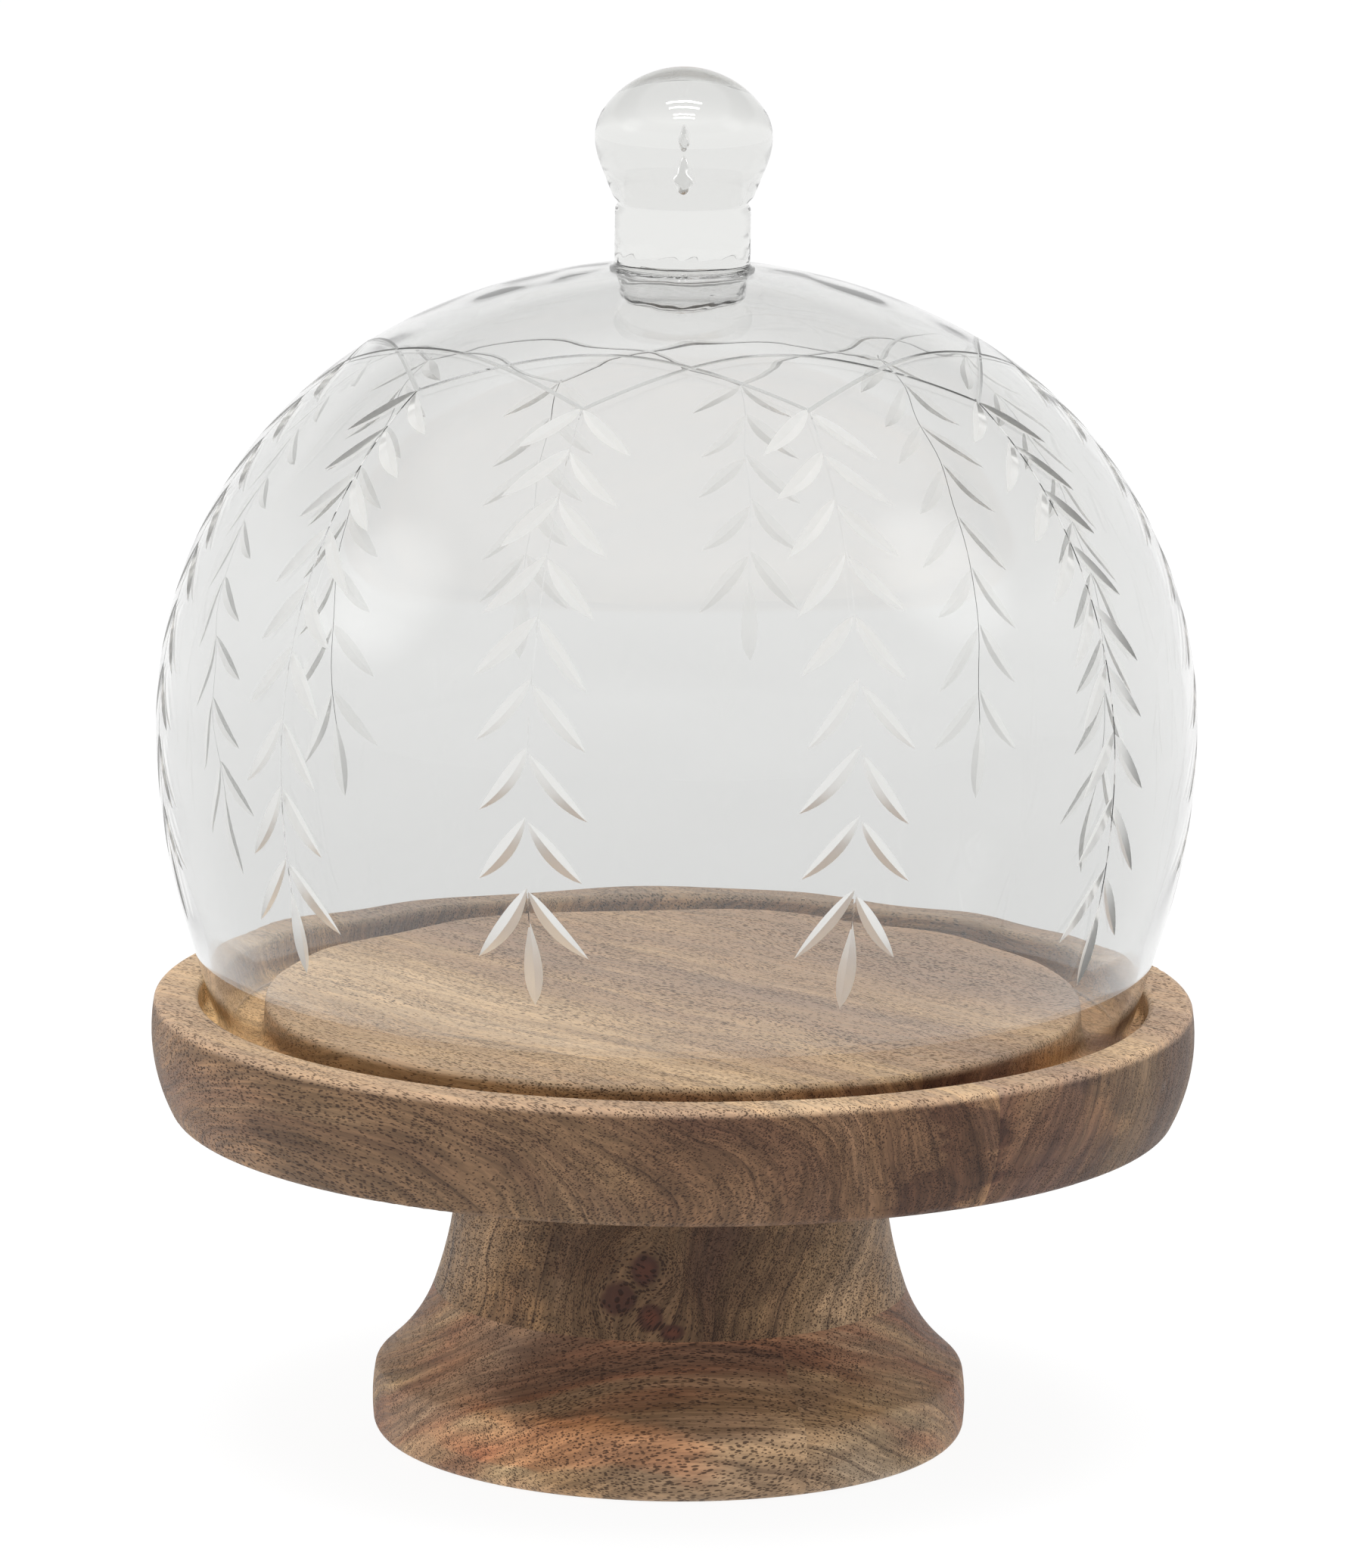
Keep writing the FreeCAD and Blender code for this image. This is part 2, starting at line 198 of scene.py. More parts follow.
def outside_arcs(weld_end):
    """The bell's outside from the weld down, and the outer half of its lip."""
    crown, crown_centre, crown_join = crown_arc()
    skirt_centre, taper, lip_centre = skirt()
    return [
        ("bell", 0.0, crown_centre, crown, weld_end, crown_join),
        ("bell", BELLY - SIDE_ARC, BELLY_HEIGHT, SIDE_ARC, crown_join, QUARTER),
        ("bell", skirt_centre, BELLY_HEIGHT, SKIRT_ARC, QUARTER, QUARTER + taper),
        ("rim", lip_centre, RIM + LIP, LIP, QUARTER + taper, PI),
    ]


def inside_arcs():
    """The inner half of the lip, the inside of the wall, and the boss that hangs under the crown."""
    crown, crown_centre, crown_join = crown_arc()
    skirt_centre, taper, lip_centre = skirt()
    inner = crown - WALL
    boss_join = math.asin((BOSS_RADIUS + BOSS_ROUND) / (inner - BOSS_ROUND))
    boss_height = crown_centre + (inner - BOSS_ROUND) * math.cos(boss_join)
    boss_base = boss_height - BOSS_DEPTH + BOSS_EDGE
    tilt = math.asin((BOSS_RADIUS - BOSS_EDGE) / (BOSS_DOME - BOSS_EDGE))
    dome_height = boss_base + (BOSS_DOME - BOSS_EDGE) * math.cos(tilt)
    return [
        ("inside", lip_centre, RIM + LIP, LIP, PI, 3 * QUARTER + taper),
        ("inside", skirt_centre, BELLY_HEIGHT, WALL - SKIRT_ARC, 3 * QUARTER + taper, 3 * QUARTER),
        ("inside", BELLY - SIDE_ARC, BELLY_HEIGHT, WALL - SIDE_ARC, 3 * QUARTER, PI + crown_join),
        ("inside", 0.0, crown_centre, -inner, PI + crown_join, PI + boss_join),
        ("boss", BOSS_RADIUS + BOSS_ROUND, boss_height, -BOSS_ROUND, PI + boss_join, QUARTER),
        ("boss", BOSS_RADIUS - BOSS_EDGE, boss_base, BOSS_EDGE, QUARTER, PI - tilt),
        ("boss", 0.0, dome_height, BOSS_DOME, PI - tilt, PI),
    ]


def cover_arcs():
    """The cover's outline from the knob's top down the outside and back up the inside.

    Each arc is (name, centre radius, centre height, arc radius, first angle, last angle). An angle is
    that of the surface's normal from straight up; the point lies at centre + radius * normal, so a
    hollow arc has a negative radius. Straight runs join one arc to the next."""
    knob = knob_arcs()
    return knob + outside_arcs(knob[-1][-1]) + inside_arcs()


def named(arcs, *names):
    return [a for a in arcs if a[0] in names]


def traced(arcs, step):
    """Points along a run of arcs, about step apart: rows of (radius, height, normal angle)."""
    rows = []
    for _, centre, height, radius, first, last in arcs:
        count = max(2, math.ceil(abs(radius * (last - first)) / step) + 1)
        angle = np.linspace(first, last, count)
        run = np.stack([centre + radius * np.sin(angle), height + radius * np.cos(angle), angle], 1)
        if rows:
            gap = run[0, :2] - rows[-1][-1, :2]
            between = int(np.hypot(*gap) / step)
            share = np.linspace(0, 1, between + 2)[1:-1, None]
            rows.append(rows[-1][-1] + share * (run[0] - rows[-1][-1]))
            if np.hypot(*gap) < step / 50:
                run = run[1:]
        rows.append(run)
    return np.concatenate([r for r in rows if len(r)])


def lengths_along(rows):
    """Distance along the outline at each row."""
    steps = np.hypot(*np.diff(rows[:, :2], axis=0).T)
    return np.concatenate([[0.0], np.cumsum(steps)])


# ------ the cut pattern

class CutBand:
    """The part of the bell's outside that carries the cuts, laid flat without stretching its angles.

    Across it runs the angle round the axis, turn; up it runs fall, the distance along the outline
    measured in local radii, so that a small shape keeps its form."""

    def __init__(self, first_radius, last_height):
        bell = named(cover_arcs(), "bell", "rim")
        whole_crown = (*bell[0][:4], 0.0, bell[0][5])
        rows = traced([whole_crown] + bell[1:], 0.05 * MM)
        along = lengths_along(rows)
        start = np.argmax(rows[:, 0] >= first_radius)
        end = np.argmax(rows[:, 1] < last_height)
        self.rows = rows[start:end + 1]
        self.along = along[start:end + 1]
        middle = (self.rows[1:, 0] + self.rows[:-1, 0]) / 2
        self.fall = np.concatenate([[0.0], np.cumsum(np.diff(self.along) / middle)])

    def fall_at(self, along):
        return np.interp(along, self.along, self.fall)

    def row_at(self, fall):
        """Radius, height and normal angle at a fall."""
        return [np.interp(fall, self.fall, self.rows[:, k]) for k in range(3)]


class Leaf:
    """One wheel-cut leaf: a lens-shaped V groove with a curved spine."""

    kind = CUT

    def __init__(self, band, turn, fall, heading, length, width, bend, belly):
        self.root = np.array([turn, fall])
        self.ahead = np.array([math.sin(heading), math.cos(heading)])
        self.aside = np.array([math.cos(heading), -math.sin(heading)])
        self.scale = float(band.row_at(fall + 0.4 * length / BELLY)[0])
        self.length, self.half, self.bend, self.belly = length, width / 2, bend, belly
        shares = np.linspace(0, 1, 11)
        self.lines = [np.array([self.point(s, side) for s in shares]) for side in (-1, 0, 1)]

    def half_width(self, share):
        skewed = np.clip(share, 0, 1) ** self.belly
        return self.half * (4 * skewed * (1 - skewed)) ** 0.9

    def spine(self, share):
        return self.bend * 4 * share * (1 - share)

    def point(self, share, offset):
        """Band coordinates of a point: share along the leaf, offset in half widths."""
        side = self.spine(share) + offset * self.half_width(share)
        return self.root + (self.ahead * share * self.length + self.aside * side) / self.scale

    def depth(self, points, radius):
        """Depth below the surface, and the side of the spine, for band points."""
        local = (points - self.root) * self.scale
        share = local @ self.ahead / self.length
        inside = (share > 0) & (share < 1)
        across = local @ self.aside - self.spine(share)
        depth = (self.half_width(share) - np.abs(across)) * CUT_SLOPE
        return np.where(inside, depth, 0), across


class Groove:
    """A narrow cut that follows a curve: a stem down the bell, or a garland round its shoulder."""

    def __init__(self, band, path, width, depth, upright):
        self.path, self.half, self.full_depth = path, width / 2, depth
        self.kind = CLEAR if upright else LINE
        self.along, self.off = (1, 0) if upright else (0, 1)
        self.lean = np.cos(np.arctan(np.gradient(path[:, self.off], path[:, self.along])))
        shift = np.zeros(path.shape)
        shift[:, self.off] = self.half / band.row_at(path[:, 1])[0] / self.lean
        self.lines = [path - shift, path, path + shift]

    def depth(self, points, radius):
        place, path = points[:, self.along], self.path[:, self.along]
        middle = np.interp(place, path, self.path[:, self.off])
        lean = np.interp(place, path, self.lean)
        inside = (place > path[0]) & (place < path[-1])
        across = (points[:, self.off] - middle) * radius * lean
        depth = (1 - np.abs(across) / self.half) * self.full_depth
        return np.where(inside, depth, 0), across


def spray(band, node, tip, start, pairs, chance):
    """A hanging spray: its stem, its pairs of leaves and the leaf at its tip.

    It leans evenly from the turn of its node to that of its tip."""
    cuts = []
    gaps = np.linspace(*LEAF_GAPS, MOST_PAIRS - 1)[:pairs - 1]
    sizes = np.linspace(*LEAF_LENGTHS, MOST_PAIRS)
    falls = band.fall_at(start + np.concatenate([[0.0], np.cumsum(gaps), [gaps.sum() + TIP_GAP]]))
    lean = (tip - node) / (falls[-1] - falls[0])
    for pair, fall in enumerate(falls[:-1]):
        turn = node + lean * (fall - falls[0])
        for side in (-1, 1):
            least = OPENING[0] - OPENING[1] * pair / MOST_PAIRS
            opening = math.radians(least + chance.uniform(-OPENING[2], OPENING[2]))
            length = sizes[pair] * chance.uniform(0.92, 1.06)
            root = fall + (0.6 * side + chance.uniform(-0.8, 0.8)) * MM / BELLY
            width = LEAF_WIDTH * chance.uniform(0.88, 1.1)
            bend = side * chance.uniform(-1.3, -0.3) * MM
            cuts.append(Leaf(band, turn + side * 0.3 * MM / BELLY, root, lean + side * opening,
                             length, width, bend, chance.uniform(0.82, 1.0)))
    tip_length = TIP_LENGTH * chance.uniform(0.95, 1.04)
    cuts.append(Leaf(band, tip, falls[-1], lean + chance.uniform(-0.04, 0.04), tip_length,
                     TIP_WIDTH, 0.3 * MM, 1.4))
    path_falls = np.linspace(falls[0] - 2 * MM / BELLY, falls[-1] + 4 * MM / BELLY, 100)
    path = np.stack([node + lean * (path_falls - falls[0]), path_falls], 1)
    cuts.append(Groove(band, path, STEM_WIDTH, STEM_DEPTH, upright=True))
    return cuts


def garland(band, first, last, rise):
    """The bowed line that joins two sprays over the one between them."""
    turns = np.linspace(first[0], last[0], 70)
    share = (turns - first[0]) / (last[0] - first[0])
    bow = 1 - (2 * share - 1) ** 2
    along = first[1] + share * (last[1] - first[1]) - rise * bow
    path = np.stack([turns, band.fall_at(along)], 1)
    return Groove(band, path, GARLAND_WIDTH, GARLAND_DEPTH, upright=False)


def cut_pattern(band):
    """Every cut on the bell."""
    chance = np.random.default_rng(12)
    cuts = []
    nodes = []
    for node, tip, lower, _, pairs in SPRAYS:
        turn, start = math.radians(node), NODE_ALONG + lower * MM
        cuts += spray(band, turn, math.radians(tip), start, pairs, chance)
        nodes.append((turn, start))
    nodes += [(turn + 2 * PI, start) for turn, start in nodes[:2]]
    for first, last, (_, _, _, rise, _) in zip(nodes, nodes[2:], SPRAYS):
        cuts.append(garland(band, first, last, rise * MM))
    return cuts


def laid_round(lines):
    """The lines on the flat band, and again a whole turn to either side where they near its ends."""
    for line in lines:
        for moved in (line - FULL_TURN, line, line + FULL_TURN):
            turns = moved[:, 0]
            if turns.max() > -PI - BAND_MARGIN and turns.min() < PI + BAND_MARGIN:
                yield moved


def cut_depths(cuts, points, band):
    """The deepest cut at each band point: its depth, and a number for its face, or 0 where clear."""
    radius = band.row_at(points[:, 1])[0]
    depth = np.zeros(len(points))
    face = np.zeros(len(points), int)
    for number, cut in enumerate(cuts):
        outline = np.concatenate(cut.lines)
        low, high = outline.min(0), outline.max(0)
        for moved in (points - FULL_TURN, points, points + FULL_TURN):
            near = np.flatnonzero(((moved > low) & (moved < high)).all(1))
            if not len(near):
                continue
            here, across = cut.depth(moved[near], radius[near])
            deeper = here > depth[near] + 1e-9
            chosen = near[deeper]
            depth[chosen] = here[deeper]
            face[chosen] = 1 + 2 * number + (across[deeper] > 0)
    face[depth < LEAST_CUT] = 0
    return depth, face


def band_mesh(band, cuts):
    """Flat triangles over the band, with every cut's edges and spine among their sides."""
    spacing = 2 * PI / COLUMNS
    rows = max(2, round(band.fall[-1] / spacing))
    beyond = COLUMNS // 2 + math.ceil(BAND_MARGIN / spacing)
    grid_turn = np.arange(-beyond, beyond + 1) * spacing
    grid_fall = np.linspace(0, band.fall[-1], rows + 1)
    grid = np.stack(np.meshgrid(grid_turn, grid_fall, indexing="ij"), -1).reshape(-1, 2)
    points, edges = [], []
    for line in laid_round([line for cut in cuts for line in cut.lines]):
        start = len(points)
        points += [Vector(p) for p in line]
        edges += [(start + k, start + k + 1) for k in range(len(line) - 1)]
    tree = kdtree.KDTree(len(points))
    for index, p in enumerate(points):
        tree.insert((p.x, p.y, 0), index)
    tree.balance()
    deep, _ = cut_depths(cuts, grid, band)
    on_rim = (grid[:, 1] < 1e-9) | (grid[:, 1] > band.fall[-1] - 1e-9)
    on_seam = np.abs(np.abs(grid[:, 0]) - PI) < 1e-9
    for p, depth, rim, seam in zip(grid, deep, on_rim, on_seam):
        if rim or seam or (depth < 1e-9 and tree.find((*p, 0))[2] > 0.42 * spacing):
            points.append(Vector(p))
    for seam in (-PI, PI):
        start = len(points)
        points += [Vector((seam, fall)) for fall in grid_fall]
        edges += [(start + k, start + k + 1) for k in range(rows)]
    flat, _, faces, *_ = geometry.delaunay_2d_cdt(points, edges, [], 0, 1e-7, False)
    flat = np.array([tuple(p) for p in flat])
    faces = np.array([tuple(f) for f in faces if len(f) == 3])
    middle = flat[faces].mean(1)[:, 0]
    faces = faces[(middle > -PI) & (middle < PI)]
    return flat, faces


# ------ the cover's mesh

def like_values(values, tolerance):
    """A number for each value, the same for values that lie within tolerance of each other."""
    order = np.argsort(values)
    numbers = np.zeros(len(values), np.int64)
    numbers[order[1:]] = np.cumsum(np.diff(values[order]) > tolerance)
    return numbers


class Skin:
    """Points, triangles and corner normals gathered for one mesh."""

    def __init__(self):
        self.points, self.faces, self.normals, self.kinds = [], [], [], []
        self.count = 0

    def add(self, points, faces, corner_normals, kind):
        self.points.append(points)
        self.faces.append(faces + self.count)
        self.normals.append(corner_normals)
        self.kinds.append(np.broadcast_to(kind, len(faces)))
        self.count += len(points)

    def mesh(self, name, weld):
        points = np.concatenate(self.points)
        faces = np.concatenate(self.faces)
        normals = np.concatenate(self.normals)
        kinds = np.concatenate(self.kinds)
        places = np.stack([like_values(points[:, k], weld) for k in range(3)], 1)
        _, first, same = np.unique(places, axis=0, return_index=True, return_inverse=True)
        faces = same.reshape(-1)[faces]
        points = points[first]
        whole = ((faces[:, 0] != faces[:, 1]) & (faces[:, 1] != faces[:, 2])
                 & (faces[:, 2] != faces[:, 0]))
        faces, normals, kinds = faces[whole], normals[whole], kinds[whole]
        mesh = bpy.data.meshes.new(name)
        mesh.from_pydata(points.tolist(), [], faces.tolist())
        mesh.polygons.foreach_set("material_index", kinds.astype(np.int32))
        mesh.shade_smooth()
        mesh.normals_split_custom_set(normals.reshape(-1, 3).tolist())
        return mesh


def around(radius, height, turn):
    """Points on circles round the axis. Turn 0 is the front, -Y."""
    return np.stack([radius * np.sin(turn), -radius * np.cos(turn), height], -1)


def ring_grid(rows, columns):
    """Triangles that join rings of columns points, row by row."""
    index = np.arange(rows * (columns + 1)).reshape(rows, columns + 1)
    a, b = index[:-1, :-1].ravel(), index[:-1, 1:].ravel()
    c, d = index[1:, 1:].ravel(), index[1:, :-1].ravel()
    return np.concatenate([np.stack([a, d, c], 1), np.stack([a, c, b], 1)])


def face_normals(points, faces):
    """A normal for each face, as long as twice its area."""
    p = points[faces]
    return np.cross(p[:, 1] - p[:, 0], p[:, 2] - p[:, 0])


def corner_normals_of(points, faces, group):
    """Area-weighted normals at each face's corners, shared only by faces of the same group."""
    flat = face_normals(points, faces)
    keys = group[:, None] * np.int64(len(points)) + faces
    _, same = np.unique(keys, return_inverse=True)
    same = same.reshape(faces.shape)
    total = np.zeros((same.max() + 1, 3))
    for corner in range(3):
        np.add.at(total, same[:, corner], flat)
    total /= np.maximum(np.linalg.norm(total, axis=1, keepdims=True), 1e-30)
    return total[same]


def add_rings(skin, rows, shaped=None, kind=CLEAR):
    """Adds a turned stretch of the outline. shaped(turn, rows) says how far each point is pushed
    out along its normal, and the normals lean with the push's slopes."""
    whole = np.linspace(-PI, PI, COLUMNS + 1)
    turn = np.broadcast_to(whole, (len(rows), COLUMNS + 1))
    radius, height, angle = (np.broadcast_to(rows[:, k][:, None], turn.shape) for k in range(3))
    push = shaped(turn, rows) if shaped else np.zeros(turn.shape)
    points = around(radius + push * np.sin(angle), height + push * np.cos(angle), turn)
    points[rows[:, 0] < 1e-7, :, :2] = 0
    down = np.gradient(push, lengths_along(rows), axis=0)[..., None]
    across = (np.gradient(push, turn[0], axis=1) / np.maximum(radius, MM))[..., None]
    normal = around(np.sin(angle), np.cos(angle), turn)
    normal -= down * around(np.cos(angle), -np.sin(angle), turn)
    normal -= across * around(np.ones(turn.shape), np.zeros(turn.shape), turn + PI / 2)
    normal /= np.linalg.norm(normal, axis=-1, keepdims=True)
    faces = ring_grid(len(rows), COLUMNS)
    skin.add(points.reshape(-1, 3), faces, normal.reshape(-1, 3)[faces], kind)


def add_cut_band(skin, band):
    """Adds the stretch of the bell that carries the cuts."""
    cuts = cut_pattern(band)
    flat, faces = band_mesh(band, cuts)
    depth, _ = cut_depths(cuts, flat, band)
    radius, height, angle = band.row_at(flat[:, 1])
    points = around(radius - depth * np.sin(angle), height - depth * np.cos(angle), flat[:, 0])
    clear = around(np.sin(angle), np.cos(angle), flat[:, 0])
    _, group = cut_depths(cuts, flat[faces].mean(1), band)
    kinds = np.array([0] + [cut.kind for cut in cuts for _ in range(2)])
    backward = (face_normals(points, faces) * clear[faces[:, 0]]).sum(1) < 0
    faces[backward] = faces[backward][:, ::-1]
    normals = corner_normals_of(points, faces, group)
    normals[group == 0] = clear[faces[group == 0]]
    skin.add(points, faces, normals, kinds[group])


def fading(rows, reach):
    """Distance along the rows, and a share that fades out towards either end of them."""
    along = lengths_along(rows)[:, None]
    return along, np.clip(np.minimum(along, along[-1] - along) / reach, 0, 1)


def hand_blown(turn, rows):
    """The inside wall's slight unevenness."""
    along, fade = fading(rows, 12 * MM)
    waves = (np.sin(9 * turn + 60 * along) * np.sin(170 * along + 1.2)
             + 0.8 * np.sin(14 * turn - 95 * along + 2.0) * np.sin(110 * along)
             + 0.6 * np.sin(5 * turn + 1.0 + 40 * along))
    return BLOWN_WAVES * waves * fade


def uneven(turn, rows):
    """The lumps where the knob was fused on."""
    along, fade = fading(rows, 4 * MM)
    lumps = (np.sin(7 * turn + 900 * along) + 0.8 * np.sin(12 * turn - 700 * along + 1.0)
             + 0.6 * np.sin(19 * turn + 1400 * along + 2.0) + 0.5 * np.sin(3 * turn + 1.5))
    return WELD_LUMPS * lumps * fade


def tooled(turn, rows):
    """The nicks that the tongs left either side of the knob's neck, and the lumps of its weld."""
    height = rows[:, 1][:, None]
    near = np.exp(-((height - NECK_TOP) / (1.1 * MM)) ** 2)
    low = np.clip((NECK_TOP - 9 * MM - height) / (3 * MM), 0, 1)
    return -NICK_DEPTH * near * np.abs(np.sin(turn)) ** 10 + low * uneven(turn, rows)


def add_bubble(skin, middle, widest, length, kind):
    """Adds an uneven, tear-shaped pocket of air, its faces turned towards the air in it."""
    rows, columns = 40, 32
    share = np.linspace(0, 1, rows)[:, None]
    turn = np.linspace(-PI, PI, columns + 1)[None, :]
    pointed = np.sin(PI * share) ** 0.6 * (0.8 + 0.3 * share)
    dents = np.sin(2 * turn + 9 * share) + 0.7 * np.sin(3 * turn - 16 * share + 1)
    radius = widest * (1 + 0.09 * dents) * pointed
    radius[[0, -1]] = 0
    height = middle + length * (0.5 - share) + 0 * turn
    points = around(radius, height, turn + 0 * share).reshape(-1, 3)
    faces = ring_grid(rows, columns)[:, ::-1]
    _, first, same = np.unique(points.round(8), axis=0, return_index=True, return_inverse=True)
    normals = corner_normals_of(points[first], same.reshape(-1)[faces], np.zeros(len(faces), int))
    skin.add(points, faces, normals, kind)


def placed(name, data):
    """A new object in the scene."""
    made = bpy.data.objects.new(name, data)
    bpy.context.scene.collection.objects.link(made)
    return made


def make_cover():
    """The whole glass cover."""
    arcs = cover_arcs()
    band = CutBand(BAND_STARTS, BAND_ENDS)
    skin = Skin()
    add_rings(skin, traced(named(arcs, "knob", "weld"), FINE_STEP), tooled, SOLID)
    bell = traced(named(arcs, "bell", "rim"), BELL_STEP)
    above = bell[bell[:, 1] > band.rows[0, 1] + 0.3 * MM]
    add_rings(skin, np.vstack([above, band.rows[:1]]))
    add_cut_band(skin, band)
    below = bell[bell[:, 1] < band.rows[-1, 1] - 0.5 * MM]
    add_rings(skin, np.vstack([band.rows[-1:], below]))
    add_rings(skin, traced(named(arcs, "inside"), INSIDE_STEP), hand_blown)
    add_rings(skin, traced(named(arcs, "boss"), FINE_STEP), uneven)
    for bubble in BUBBLES:
        add_bubble(skin, *bubble)
    mesh = skin.mesh("glass_cover", 2e-7)
    return placed("glass_cover", mesh)


# ------ materials

class Graph:
    """The nodes of a material or the world, with short calls that add one and give its output."""

    def __init__(self, owner, place="Object"):
        owner.use_nodes = True
        self.owner, self.tree = owner, owner.node_tree
        self.tree.nodes.clear()
        self.place = self.node("TexCoord").outputs[place]

    def node(self, kind, inputs=None, **settings):
        made = self.tree.nodes.new("ShaderNode" + kind)
        for name, value in settings.items():
            setattr(made, name, value)
        for name, value in (inputs or {}).items():
            self.feed(made.inputs[name], value)
        return made

    def first(self, kind, inputs):
        """The first output of a new node."""
        return self.node(kind, inputs).outputs[0]

    def feed(self, socket, value):
        if isinstance(value, bpy.types.NodeSocket):
            self.tree.links.new(value, socket)
        else:
            socket.default_value = value

    def math(self, operation, *values):
        return self.node("Math", dict(enumerate(values)), operation=operation).outputs[0]

    def vector(self, operation, *values):
        made = self.node("VectorMath", dict(enumerate(values)), operation=operation)
        return made.outputs["Value" if operation in ("LENGTH", "DOT_PRODUCT") else "Vector"]

    def axes(self, vector):
        """The vector's x, y and z."""
        return self.node("SeparateXYZ", {"Vector": vector}).outputs[:3]

    def remap(self, value, low, high, to_low=0.0, to_high=1.0):
        """A smooth step from to_low to to_high as value goes from low to high."""
        inputs = dict(enumerate((value, low, high, to_low, to_high)))
        return self.node("MapRange", inputs, interpolation_type="SMOOTHSTEP").outputs["Result"]

    def noise(self, vector, scale, detail=2.0, roughness=0.5, distortion=0.0, part="Fac"):
        """Smooth noise. scale is its repeats per metre, one number or a number for each axis."""
        if isinstance(scale, tuple):
            vector, scale = self.vector("MULTIPLY", vector, scale), 1.0
        inputs = {"Vector": vector, "Scale": scale, "Detail": detail, "Roughness": roughness,
                  "Distortion": distortion}
        return self.node("TexNoise", inputs).outputs[part]

    def blend(self, share, first, second, kind="MIX"):
        made = self.node("Mix", data_type="RGBA", blend_type=kind)
        for index, value in ((0, share), (6, first), (7, second)):
            self.feed(made.inputs[index], value)
        return made.outputs[2]

    def cast(self, share, colour, factors):
        """The colour with a share of it multiplied by the factors for red, green and blue."""
        return self.blend(share, colour, (*factors, 1.0), "MULTIPLY")

    def ramp(self, share, stops):
        """A run of colours, each (place, colour)."""
        made = self.node("ValToRGB", {"Fac": share})
        band = made.color_ramp
        band.elements[0].position, band.elements[0].color = stops[0]
        band.elements[1].position, band.elements[1].color = stops[-1]
        for place, colour in stops[1:-1]:
            band.elements.new(place).color = colour
        return made.outputs["Color"]

    def grey(self, level):
        """The same number as all three parts of a colour or a vector."""
        return self.first("CombineXYZ", {0: level, 1: level, 2: level})

    def solid(self, colour, rough, bump, more):
        """An opaque surface. bump is how strong its relief is, how deep, and the relief."""
        relief = self.node("Bump", dict(zip(("Strength", "Distance", "Height"), bump)))
        inputs = {"Base Color": colour, "Roughness": rough, "Normal": relief.outputs["Normal"]}
        return self.output(self.first("BsdfPrincipled", inputs | more))

    def output(self, surface, kind="OutputMaterial"):
        self.node(kind, {"Surface": surface})
        return self.owner


def new_graph(name):
    """An empty material's graph."""
    return Graph(bpy.data.materials.new(name))


def tone(red, green, blue):
    """A colour given in display values from 11 to 255, as linear light."""
    return (*[((c / 255 + 0.055) / 1.055) ** 2.4 for c in (red, green, blue)], 1.0)


# Wood colours, from dark heartwood to pale sapwood.
UMBER = tone(62, 42, 33)
MAUVE = tone(100, 75, 64)
WALNUT = tone(124, 94, 71)
OCHRE = tone(152, 121, 88)
RUSSET = tone(132, 92, 66)
TAN = tone(174, 144, 112)
# Sanded wood's paler colour for the plate's top, partly painted sheen.
SANDED_AND_SHEEN = tone(188, 164, 141)
KNOT = tone(66, 38, 31)
KNOT_HEART = tone(94, 55, 41)
PORE = tone(44, 28, 23)

# The wood's pattern. Grain scales are repeats per metre along and across the grain; layered scales
# are repeats per metre along the grain, out from the pith and up.
DRIFT_SCALE = (5, 11, 11)
WAVER_SCALE = (30, 70, 70)
WAVER = 2.6 * MM
RING_WANDER_SCALE = 90.0
RING_WANDER = 2.2
RING_THINNESS = 14.0
RING_FADE_SCALE = (7, 30, 30)
BAND_SCALE = (4, 26, 9)
STREAK_SCALE = (11, 170, 16)
STREAK_SHOW = 0.3
LINE_SCALE = (40, 620, 70)
LINE_CONTRAST = 0.22
FIBRE_SCALE = (90, 1900, 420)
# Two layers of pores: cells per metre along and across the grain, share of the cells that can hold
# one, and thickness in cells.
COARSE_PORES = (300, 1350, 0.6, 0.24)
FINE_PORES = (520, 2100, 1.0, 0.28)
PORE_DENSITY_SCALE = (9, 90, 90)
PORE_SHOW = 0.8
PORE_DEPTH = 0.12 * MM

# Zones: how ragged their edges are and how far that moves them sideways and in height, how soft they
# end in height, and how far forward on the piece they fade in.
ZONE_EDGE_SCALE = (18, 18, 70)
ZONE_RAGGED = (60 * MM, 30 * MM)
ZONE_SOFT = 5 * MM
ZONE_FRONT = (-15 * MM, -40 * MM)

# Casts are multiplied over the wood: painted light and sheen that make the plate's top paler, and
# painted light that lifts its groove out of shade; the groove runs from one radius to another.
TOP_STARTS = PLATE_TOP - 0.6 * MM
TOP_PAINTED_LIGHT = (2.2, 2.27, 2.36)
GROOVE_PAINTED_LIGHT = (2.7, 2.7, 2.5)
GROOVE_REACH = (RIM_RADIUS - 11 * MM, RIM_RADIUS + 5.5 * MM)
